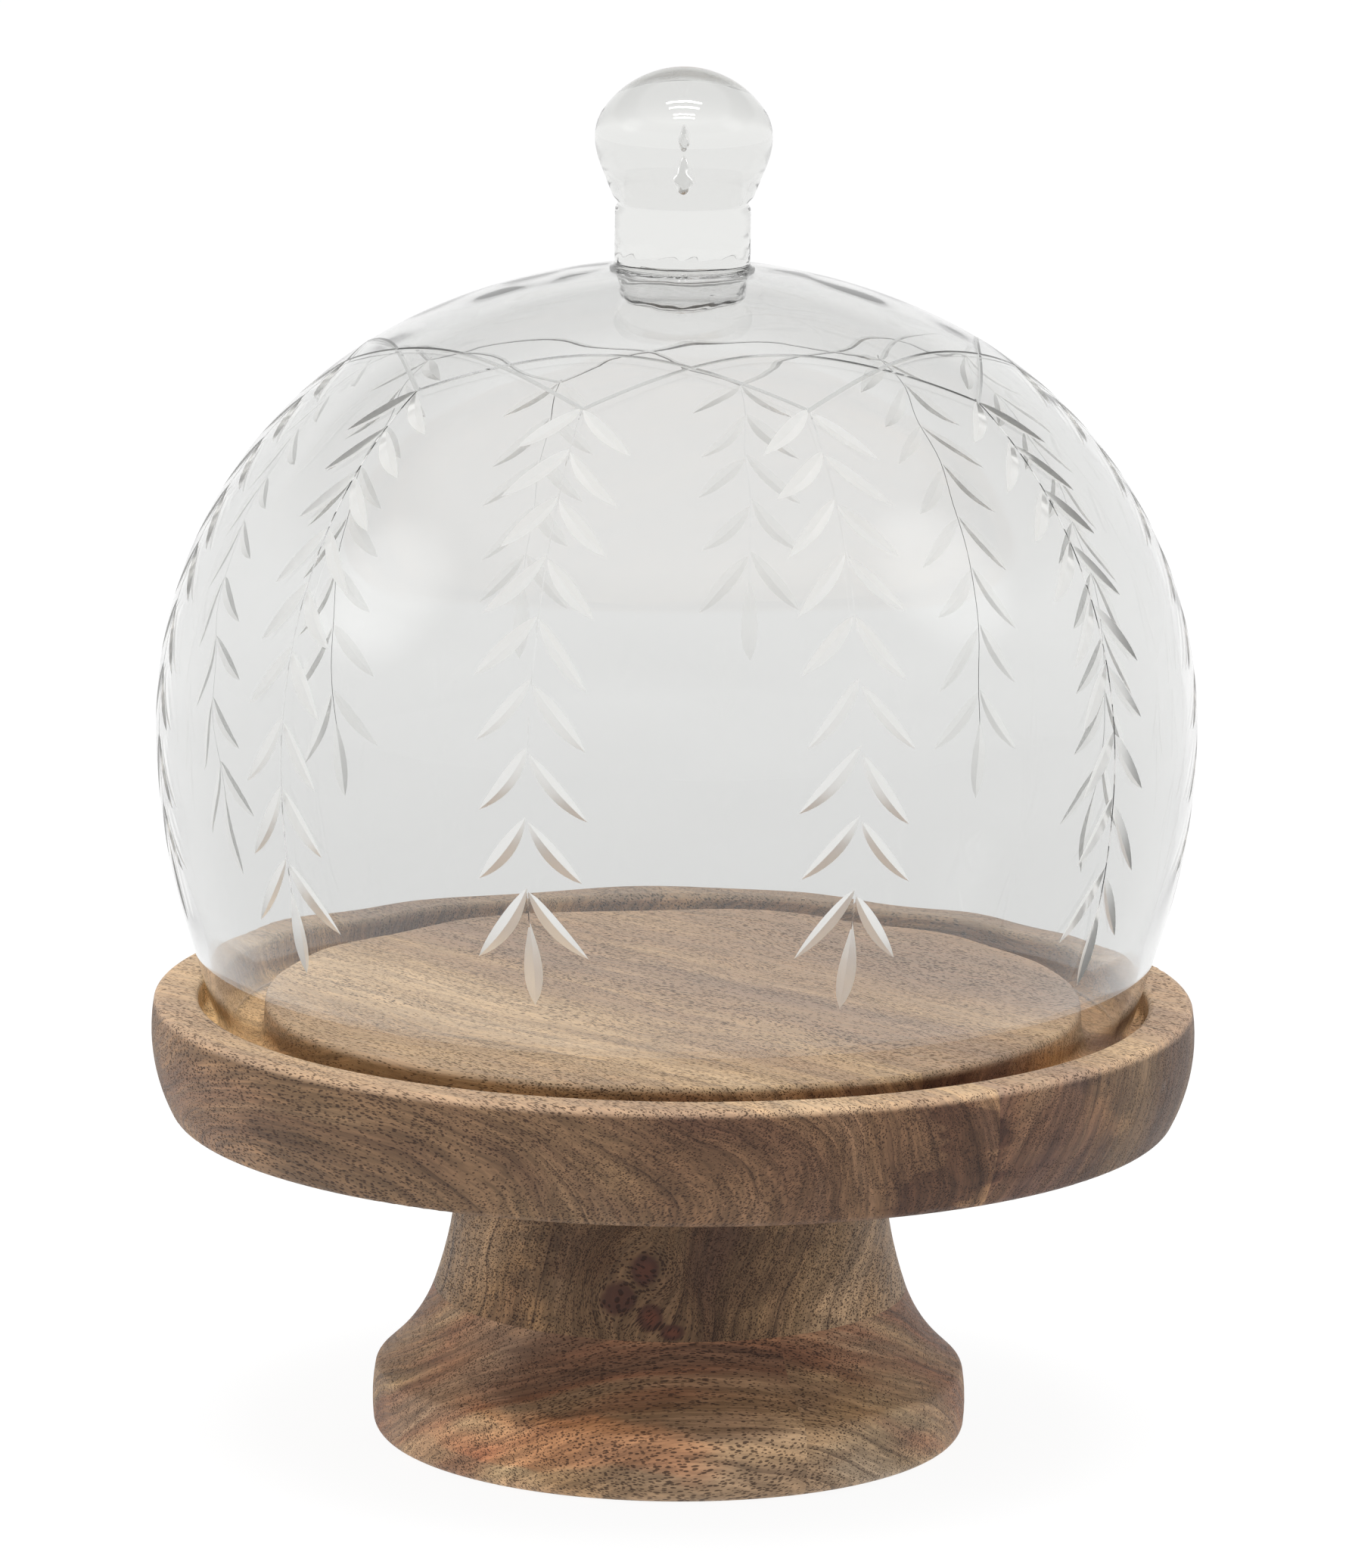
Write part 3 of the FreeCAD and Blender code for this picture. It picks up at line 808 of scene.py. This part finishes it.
# Zones: from and to across, from and to in height, how soft sideways, all in millimetres, and cast.
PLATE_ZONES = (
    (5, 76, 60, 140, 30, (0.76, 0.68, 0.70)),
    (64, 79, 60, 140, 3, (0.62, 0.56, 0.58)),
    # painted highlight at the plate's left edge
    (-200, -118, 60, 140, 16, (1.6, 1.6, 1.58)),
    (84, 106, 60, 140, 8, (1.3, 1.26, 1.22)),
    (116, 150, 60, 140, 8, (0.78, 0.78, 0.82)),
)
NECK_ZONES = (
    (-30, 22, 30, 95, 16, (0.6, 0.57, 0.58)),
    # the next two: paler bands at the neck's left and right edges, painted sheen
    (-60, -42, 30, 95, 8, (1.25, 1.2, 1.15)),
    (50, 66, 30, 95, 4, (1.4, 1.4, 1.4)),
    (-28, -18, 58, 66, 9, (0.7, 0.64, 0.62)),
)
FOOT_ZONES = (
    (-36, 34, 23, 37, 20, (0.66, 0.64, 0.68)),
    (-42, 2, 11, 19, 22, (1.3, 1.02, 0.92)),
    # the next two: painted sheen, paler and bluish, at the foot's left and right sides
    (-90, -44, 0, 42, 14, (1.45, 1.62, 1.75)),
    (56, 90, 0, 42, 14, (1.15, 1.28, 1.42)),
    # darker towards the bottom of the foot's front
    (-14, 60, -20, 12, 20, (0.71, 0.71, 0.74)),
)
# Knots: across the front, above the foot's seam, radius, how many times narrower than high, how
# red the heart is.
KNOTS = (
    (-13.8 * MM, 10.5 * MM, 4.6 * MM, 1.1, 0.1),
    (-6.7 * MM, 18.2 * MM, 3.7 * MM, 0.9, 0.5),
    (-5.1 * MM, 6 * MM, 3.3 * MM, 0.9, 0.9),
    (1 * MM, 2.4 * MM, 3.3 * MM, 1.6, 0.9),
)

# The cover's materials in the order of its slots: name, tint, roughness, frost.
GLASSES = (
    ("clear_glass", (0.838, 0.84, 0.835, 1.0), 0.0, 0.0),
    ("cut_glass", (0.93, 0.93, 0.925, 1.0), 0.28, 0.24),
    # its grey tint is painted shade: it darkens the garland lines as the refraction of steeper cuts
    # would
    ("line_glass_painted_shade", (0.62, 0.63, 0.62, 1.0), 0.16, 0.04),
    ("solid_glass", (0.755, 0.757, 0.742, 1.0), 0.0, 0.0),
)
# Metal: colour, roughness.
STEEL = ((0.62, 0.62, 0.6, 1.0), 0.3)
BRASS = ((0.78, 0.58, 0.28, 1.0), 0.28)


@dataclass
class WoodLook:
    """What sets one turned piece's wood apart from another's.

    heading and tilt are the grain's in degrees, pith is the middle of the growth rings, seed moves
    the pattern, and stops are the colours of the broad bands."""
    heading: float
    pith: tuple
    seed: tuple
    stops: list
    ring_gap: float = 9 * MM
    ring_show: float = 0.6
    wander: float = 9 * MM
    tilt: float = 0.0
    pores: float = 0.8
    shade: float = 1.0


def pore_layer(g, bent, share, along, across, part, thick):
    """Short dark dashes along the grain, dots on the end grain, in a share of the cells."""
    place = g.vector("MULTIPLY", bent, (along, across, across))
    cells = g.node("TexVoronoi", {"Vector": place, "Scale": 1.0})
    picked = g.first("SeparateColor", {"Color": cells.outputs["Color"]})
    edge = g.math("MULTIPLY_ADD", picked, thick, 0.10)
    kept = g.math("LESS_THAN", picked, g.math("MULTIPLY", share, part))
    hole = g.remap(cells.outputs["Distance"], edge, g.math("ADD", edge, 0.18), 1.0, 0.0)
    return g.math("MULTIPLY", hole, kept)


def pores(g, look, bent):
    """The pores, 1 in the middle of one: a coarse layer over a fine one, denser here than there."""
    dense = g.noise(bent, PORE_DENSITY_SCALE)
    share = g.remap(dense, 0.3, 0.6, look.pores * 0.7, look.pores * 1.25)
    layers = [pore_layer(g, bent, share, *layer) for layer in (COARSE_PORES, FINE_PORES)]
    return g.math("MAXIMUM", *layers)


def bent_grain(g, look, place):
    """Coordinates with x along the grain: straight ones, and the same bent as the tree grew."""
    turn = (0.0, math.radians(look.tilt), math.radians(-look.heading))
    mapping = g.node("Mapping", {"Vector": place, "Rotation": turn, "Location": look.seed})
    straight = mapping.outputs["Vector"]
    drift = g.noise(straight, DRIFT_SCALE, part="Color")
    waver = g.noise(straight, WAVER_SCALE, part="Color")
    middle = (0.5, 0.5, 0.5)
    sideways = g.vector("MULTIPLY", g.vector("SUBTRACT", drift, middle), (0.0, 1, 1))
    bent = g.vector("MULTIPLY_ADD", sideways, (look.wander * 4,) * 3, straight)
    ripple = g.vector("SUBTRACT", waver, middle)
    return straight, g.vector("MULTIPLY_ADD", ripple, (0.0, WAVER, WAVER), bent)


def layers_of(g, look, bent):
    """Layered coordinates: along the grain, out from the pith, and up. Also the middle one alone."""
    pith = (0, look.pith[0] + look.seed[1], look.pith[1] + look.seed[2])
    from_pith = g.vector("MULTIPLY", g.vector("SUBTRACT", bent, pith), (0, 1, 1))
    out = g.vector("LENGTH", from_pith)
    length, _, height = g.axes(bent)
    return g.first("CombineXYZ", {"X": length, "Y": out, "Z": height}), out


def growth_rings(g, look, straight, out):
    """Thin dark lines where a year's growth ends, unevenly far apart and fading in and out."""
    outward = g.first("CombineXYZ", {"X": out})
    wander = g.noise(outward, RING_WANDER_SCALE, 1)
    years = g.math("MULTIPLY_ADD", wander, RING_WANDER, g.math("DIVIDE", out, look.ring_gap))
    late = g.math("POWER", g.math("FRACT", years), RING_THINNESS)
    faint = g.noise(straight, RING_FADE_SCALE)
    return g.math("MULTIPLY", late, g.remap(faint, 0.35, 0.6, 0.2, look.ring_show))


def figure(g, look, layered, ring, fibre):
    """The wood's colour before its pores: broad bands, then streaks, rings, fine lines and fibres."""
    broad = g.noise(layered, BAND_SCALE, 3, 0.55)
    colour = g.ramp(broad, look.stops)
    streak = g.noise(layered, STREAK_SCALE, 3, 0.6)
    colour = g.blend(g.remap(streak, 0.53, 0.72, 0.0, STREAK_SHOW), colour, UMBER)
    colour = g.blend(g.remap(streak, 0.47, 0.30, 0.0, 0.25), colour, TAN)
    colour = g.blend(ring, colour, UMBER)
    line = g.noise(layered, LINE_SCALE, 2, 0.6)
    pale, dark = (1 + LINE_CONTRAST) * look.shade, (1 - LINE_CONTRAST) * look.shade
    lit = g.math("MULTIPLY", g.remap(line, 0.34, 0.66, pale, dark), g.remap(fibre, 0.3, 0.7, 0.8, 1.2))
    return g.blend(1.0, colour, g.grey(lit), "MULTIPLY")


def wood(name, look, touch, warp=None):
    """Solid wood: the pattern runs right through, with x along the grain after turning by heading.

    touch(graph, colour) adds marks of the piece's own and, on some pieces, painted light and sheen;
    warp(graph, place) may bend its grain."""
    g = new_graph(name)
    place = warp(g, g.place) if warp else g.place
    straight, bent = bent_grain(g, look, place)
    layered, out = layers_of(g, look, bent)
    ring = growth_rings(g, look, straight, out)
    fibre = g.noise(layered, FIBRE_SCALE, 2, 0.7)
    colour = touch(g, figure(g, look, layered, ring, fibre))
    pore = pores(g, look, bent)
    colour = g.blend(g.math("MULTIPLY", pore, PORE_SHOW), colour, PORE)
    # An oiled, satin surface, rougher in the pores.
    rough = g.math("MULTIPLY_ADD", pore, 0.15, g.remap(fibre, 0.3, 0.7, 0.46, 0.58))
    relief = g.math("MULTIPLY_ADD", pore, -1.0, g.math("MULTIPLY", fibre, 0.22))
    return g.solid(colour, rough, (0.8, PORE_DEPTH, relief), {"Specular IOR Level": 0.26})


def between(g, value, low, high, soft):
    """1 where value lies between low and high, fading to 0 over soft beyond them."""
    rising = g.remap(value, low - soft, low)
    falling = g.remap(value, high, high + soft, 1.0, 0.0)
    return g.math("MULTIPLY", rising, falling)


def plate_faces(g, colour, side):
    """The plate's top gets painted light and sheen over the paler colour of sanded wood; the floor and
    sides of its groove get painted light, a little warmer, that lifts them out of shade. side is the
    colour of the plate's outer face."""
    x, y, z = g.axes(g.place)
    across = g.math("SQRT", g.math("ADD", g.math("MULTIPLY", x, x), g.math("MULTIPLY", y, y)))
    ring = between(g, across, *GROOVE_REACH, 1.5 * MM)
    below = g.remap(z, PLATE_TOP - 2.2 * MM, TOP_STARTS, 1.0, 0.0)
    top = g.remap(z, PLATE_TOP - 2.6 * MM, TOP_STARTS, 0.0, 1.0)
    colour = g.blend(top, side, colour)
    # painted light, a little warmer, in the groove, which lies in shade
    colour = g.cast(g.math("MULTIPLY", ring, below), colour, GROOVE_PAINTED_LIGHT)
    # painted light and sheen on the top
    colour = g.cast(top, colour, TOP_PAINTED_LIGHT)
    # the paler colour of sanded wood over the top, partly painted sheen
    return g.blend(g.math("MULTIPLY", top, 0.4), colour, SANDED_AND_SHEEN)


def knot_centre(across, level):
    """A point just inside the neck's front, level above its seam with the foot."""
    return (across, -NECK_WIDEST * 0.93, FOOT_SEAM + level)


def round_knots(g, place):
    """Grain bowed out round the neck's knots."""
    for across, level, size, *_ in KNOTS:
        away = g.vector("SUBTRACT", place, knot_centre(across, level))
        near = g.remap(g.vector("LENGTH", away), 0.0, size * 4.5, -0.75, 0.0)
        pull = g.vector("MULTIPLY", away, g.grey(near))
        place = g.vector("ADD", place, pull)
    return place


def knots(g, colour):
    """The neck's knots: ragged dark rims with redder hearts, low on its front."""
    ragged = g.noise(g.place, 150.0, 3, 0.6)
    for across, level, size, narrow, heart in KNOTS:
        away = g.vector("SUBTRACT", g.place, knot_centre(across, level))
        away = g.vector("LENGTH", g.vector("MULTIPLY", away, (1.0, 0.25, narrow)))
        away = g.math("MULTIPLY_ADD", g.math("SUBTRACT", ragged, 0.5), size * 0.9, away)
        colour = g.blend(g.remap(away, size * 1.25, size * 0.75, 0.0, 0.88), colour, KNOT)
        colour = g.blend(g.remap(away, size * 0.8, size * 0.3, 0.0, heart), colour, KNOT_HEART)
    return colour


def zoned(g, colour, zones):
    """Ragged-edged zones on a piece's front: darker, redder or paler wood, and painted sheen and
    highlights at its edges.
    """
    x, y, z = g.axes(g.place)
    ragged = g.noise(g.place, ZONE_EDGE_SCALE, 3, 0.6)
    shift = g.math("SUBTRACT", ragged, 0.5)
    side = g.math("MULTIPLY_ADD", shift, ZONE_RAGGED[0], x)
    level = g.math("MULTIPLY_ADD", shift, ZONE_RAGGED[1], z)
    front = g.remap(y, *ZONE_FRONT)
    for *sizes, cast in zones:
        first, last, low, high, soft = [size * MM for size in sizes]
        across = between(g, side, first, last, soft)
        share = g.math("MULTIPLY", across, between(g, level, low, high, ZONE_SOFT))
        colour = g.cast(g.math("MULTIPLY", share, front), colour, cast)
    return colour


def plate_marks_and_light(g, colour):
    return plate_faces(g, colour, zoned(g, colour, PLATE_ZONES))


def neck_marks_and_sheen(g, colour):
    return knots(g, zoned(g, colour, NECK_ZONES))


def foot_marks_and_sheen(g, colour):
    return zoned(g, colour, FOOT_ZONES)


def glass(name, tint, roughness, frost):
    """Clear glass that lets lamps and soft light through to what it covers, and its cut facets.

    frost is the share of the surface that scatters light, as a ground facet does."""
    g = new_graph(name)
    body = {"Base Color": tint, "Roughness": roughness, "IOR": 1.5, "Transmission Weight": 1.0}
    surface = g.first("BsdfPrincipled", body)
    if frost:
        grit = g.noise(g.place, 2600.0)
        share = g.math("MULTIPLY", g.remap(grit, 0.3, 0.7, 0.6, 1.3), frost)
        ground = g.first("BsdfTranslucent", {"Color": tone(238, 238, 236)})
        lit = g.first("BsdfDiffuse", {"Color": tone(244, 244, 242)})
        both = g.first("MixShader", {0: 0.5, 1: ground, 2: lit})
        surface = g.first("MixShader", {0: share, 1: surface, 2: both})
    ray = g.node("LightPath").outputs
    passing = g.math("MAXIMUM", ray["Is Shadow Ray"], ray["Is Diffuse Ray"])
    through = g.first("BsdfTransparent", {"Color": tone(240, 241, 239)})
    return g.output(g.first("MixShader", {0: passing, 1: surface, 2: through}))


def metal(name, colour, roughness):
    """Turned metal: fine rings of tool marks and a mottled polish."""
    g = new_graph(name)
    marks = g.noise(g.place, (300, 300, 4200))
    mottle = g.noise(g.place, 320.0, 3)
    darker = (*[c * 0.55 for c in colour[:3]], 1.0)
    dull = g.blend(g.remap(mottle, 0.4, 0.7, 0.0, 0.35), colour, darker)
    rough = g.remap(mottle, 0.3, 0.7, roughness, roughness + 0.15)
    return g.solid(dull, rough, (0.4, 0.05 * MM, marks), {"Metallic": 1.0})


def felt(name):
    """Pressed wool: matted fibres, a soft sheen and slight blotches."""
    g = new_graph(name)
    matted = g.noise(g.place, 2400.0, 4, 0.7, 1.2)
    blotch = g.noise(g.place, 160.0)
    stops = [(0.25, tone(54, 44, 38)), (0.5, tone(92, 78, 66)), (0.8, tone(130, 114, 98))]
    colour = g.ramp(matted, stops)
    colour = g.blend(g.remap(blotch, 0.4, 0.7, 0.0, 0.25), colour, tone(70, 58, 50))
    return g.solid(colour, 0.95, (0.9, 0.25 * MM, matted), {"Sheen Weight": 0.4})


def coat(node, material):
    """Puts the material on every slot of a CAD node."""
    for slot in NODES[node].material_slots:
        slot.material = material
    if not NODES[node].material_slots:
        NODES[node].data.materials.append(material)


def finish_stand():
    """Wood, felt and metal for the stand."""
    light = [(0.26, MAUVE), (0.40, WALNUT), (0.54, OCHRE), (0.70, TAN)]
    dark = [(0.28, UMBER), (0.42, MAUVE), (0.54, WALNUT), (0.68, OCHRE), (0.82, TAN)]
    left = WoodLook(-48, (-0.19, 0.05), (0.4, 0.02, 0.0), light, wander=12 * MM, shade=0.72)
    right = WoodLook(-46, (0.16, 0.05), (0.7, 0.12, 0.02), dark, ring_show=0.8, shade=0.72)
    for number, look in enumerate((left, left, right, right), start=1):
        node = f"plate_board_{number}"
        coat(node, wood(node + "_wood", look, plate_marks_and_light))
    neck = [(0.30, MAUVE), (0.42, WALNUT), (0.52, OCHRE), (0.64, TAN)]
    look = WoodLook(-90, (0.14, 0.0), (0.9, 0.1, 0.3), neck, ring_gap=11 * MM, ring_show=0.95,
                    pores=1.0, tilt=12, shade=0.78)
    coat("neck_block", wood("neck_wood", look, neck_marks_and_sheen, round_knots))
    foot = [(0.26, MAUVE), (0.38, WALNUT), (0.46, RUSSET), (0.53, OCHRE), (0.66, TAN)]
    for node, seed in (("foot_board_1", (0.3, 0.8, 0.11)), ("foot_board_2", (0.33, 0.83, 0.12))):
        look = WoodLook(4, (0.03, 0.11), seed, foot, wander=8 * MM, shade=1.1)
        coat(node, wood(node + "_wood", look, foot_marks_and_sheen))
    coat("hanger_bolt", metal("zinc_steel", *STEEL))
    coat("threaded_insert", metal("brass", *BRASS))
    coat("felt_pads", felt("wool_felt"))


def finish_cover():
    """Makes the glass cover and sets it over the plate."""
    cover = make_cover()
    for name, tint, roughness, frost in GLASSES:
        cover.data.materials.append(glass(name, tint, roughness, frost))
    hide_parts("glass_dome", "glass_knob")
    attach(cover, "dome")


# ------ floor, lamps and camera

FLOOR_GLOW = 0.92
# Added to the glow where it is seen through glass, near the object and far behind it, and how far
# behind the axis the one turns into the other.
FLOOR_VEIL = (-0.15, 0.07)
VEIL_RUNS = (0.45, 1.5)
FLOOR_HALF = 40.0

# Broad lamps: name, place, size, power. They face the object's middle.
BROAD_LAMPS = (
    ("overhead", (0, -0.2, 2.2), (1.5, 1.5), 48),
    ("front_left", (-1.7, -1.6, 1.5), (0.9, 0.9), 6),
)
MIDDLE = (0, 0, 0.15)
# Tubes: how high each stands over the knob, how thick it looks from there, and its half length,
# all in degrees.
TUBES = ((89.0, 3.6, 22.0), (78.5, 3.2, 20.0), (65.6, 2.2, 15.0), (59.6, 2.2, 15.0))
TUBE_REACH = 40 * MM
TUBE_GLARE = 7.0
TUBE_SPREAD = 46

# The room as the glass mirrors it: (height of a direction from 0 to 1, level).
ROOM_LEVELS = ((0.0, 1.0), (0.36, 0.94), (0.47, 0.52), (0.70, 0.50), (0.79, 1.04), (1.0, 1.04))
THROUGH_GLASS = 1.03
# Two windows with soft edges, one to either side, that show only as reflections: their directions,
# how far they reach and how much brighter than the room they are.
WINDOWS = ((-0.855, -0.118, 0.504), (0.788, -0.150, 0.598))
WINDOW_REACH = math.radians(19)
WINDOW_GLARE = 1.5

CAMERA_PLACE = (0, -2.4534, 0.6583)
CAMERA_DOWN = math.radians(11.08)
CAMERA_LEAN = math.radians(0.7)
FOCAL_LENGTH = 214.68
SENSOR_WIDTH = 36.0


def make_floor():
    """A wide pale floor, bright enough to read as plain white behind the object."""
    half = FLOOR_HALF
    mesh = bpy.data.meshes.new("floor")
    corners = [(-half, -half, 0), (half, -half, 0), (half, half, 0), (-half, half, 0)]
    mesh.from_pydata(corners, [], [(0, 1, 2, 3)])
    floor = placed("floor", mesh)
    floor.location.z = cad_box[0].z
    g = new_graph("floor_white")
    diffuse = g.first("BsdfDiffuse", {"Color": (0.1, 0.1, 0.1, 1)})
    _, y, _ = g.axes(g.place)
    seen_through = g.node("LightPath").outputs["Is Transmission Ray"]
    veil = g.math("MULTIPLY", seen_through, g.remap(y, *VEIL_RUNS, *FLOOR_VEIL))
    strength = g.math("ADD", veil, FLOOR_GLOW)
    glow = g.first("Emission", {"Color": (1, 1, 1, 1), "Strength": strength})
    mesh.materials.append(g.output(g.first("AddShader", {0: diffuse, 1: glow})))


def make_lamp(name, place, target, size, power, mirrored=False, spread=180):
    """A rectangular soft lamp that faces the target. Only a mirrored one shows as a highlight."""
    light = bpy.data.lights.new(name, "AREA")
    light.shape = "RECTANGLE"
    light.size, light.size_y = size
    light.energy = power
    light.spread = math.radians(spread)
    lamp = placed(name, light)
    lamp.rotation_mode = "QUATERNION"
    lamp.rotation_quaternion = (target - Vector(place)).to_track_quat("-Z", "Y")
    lamp.location = place
    lamp.visible_camera = lamp.visible_transmission = False
    lamp.visible_glossy = mirrored


def make_lights():
    """A broad lamp overhead, a weak one at the front left, and four short tubes over the knob."""
    for name, place, size, power in BROAD_LAMPS:
        make_lamp(name, place, Vector(MIDDLE), size, power)
    knob_face = Vector((0, -0.8 * KNOB_RADIUS, KNOB_TOP - 8 * MM))
    for number, (rise, thick, half) in enumerate(TUBES, start=1):
        angle = math.radians(rise)
        place = knob_face + TUBE_REACH * Vector((0, -math.cos(angle), math.sin(angle)))
        long = 2 * TUBE_REACH * math.tan(math.radians(half))
        wide = TUBE_REACH * math.radians(thick)
        make_lamp(f"tube_{number}", place, knob_face, (long, wide), TUBE_GLARE * long * wide,
                  mirrored=True, spread=TUBE_SPREAD)


def window_light(g):
    """How much brighter than the room it is in a direction, because of the windows."""
    edge = math.cos(WINDOW_REACH)
    facing = [g.vector("DOT_PRODUCT", g.place, window) for window in WINDOWS]
    return g.math("ADD", *[g.remap(f, edge, 1.0, 0.0, WINDOW_GLARE) for f in facing])


def make_room():
    """The pale room: an even wall, a greyer band above it, that shows only as a reflection, a bright
    ceiling and two windows."""
    world = bpy.data.worlds.new("room")
    bpy.context.scene.world = world
    g = Graph(world, "Generated")
    _, _, height = g.axes(g.place)
    first, *inner, last = ROOM_LEVELS
    stops = [(at, (level, level * 1.004, level * 0.992, 1)) for at, level in inner]
    ends = [(at, (level, level, level, 1)) for at, level in (first, last)]
    mirrored = g.ramp(height, [ends[0], *stops, ends[1]])
    ray = g.node("LightPath").outputs
    colour = g.blend(ray["Is Transmission Ray"], mirrored, (THROUGH_GLASS,) * 3 + (1,))
    strength = g.math("MULTIPLY_ADD", ray["Is Glossy Ray"], window_light(g), 1.0)
    light = g.first("Background", {"Color": colour, "Strength": strength})
    g.output(light, "OutputWorld")


def make_camera():
    """A long lens a little above the cover, looking slightly down."""
    data = bpy.data.cameras.new("camera")
    data.lens, data.sensor_width = FOCAL_LENGTH, SENSOR_WIDTH
    data.clip_start, data.clip_end = 0.1, 200.0
    camera = placed("camera", data)
    camera.location = CAMERA_PLACE
    camera.rotation_mode = "QUATERNION"
    level = Quaternion((1, 0, 0), PI / 2 - CAMERA_DOWN)
    camera.rotation_quaternion = level @ Quaternion((0, 0, 1), CAMERA_LEAN)
    bpy.context.scene.camera = camera
    bpy.context.scene.view_settings.view_transform = "Standard"


make_camera()
make_floor()
make_lights()
make_room()
finish_cover()
finish_stand()
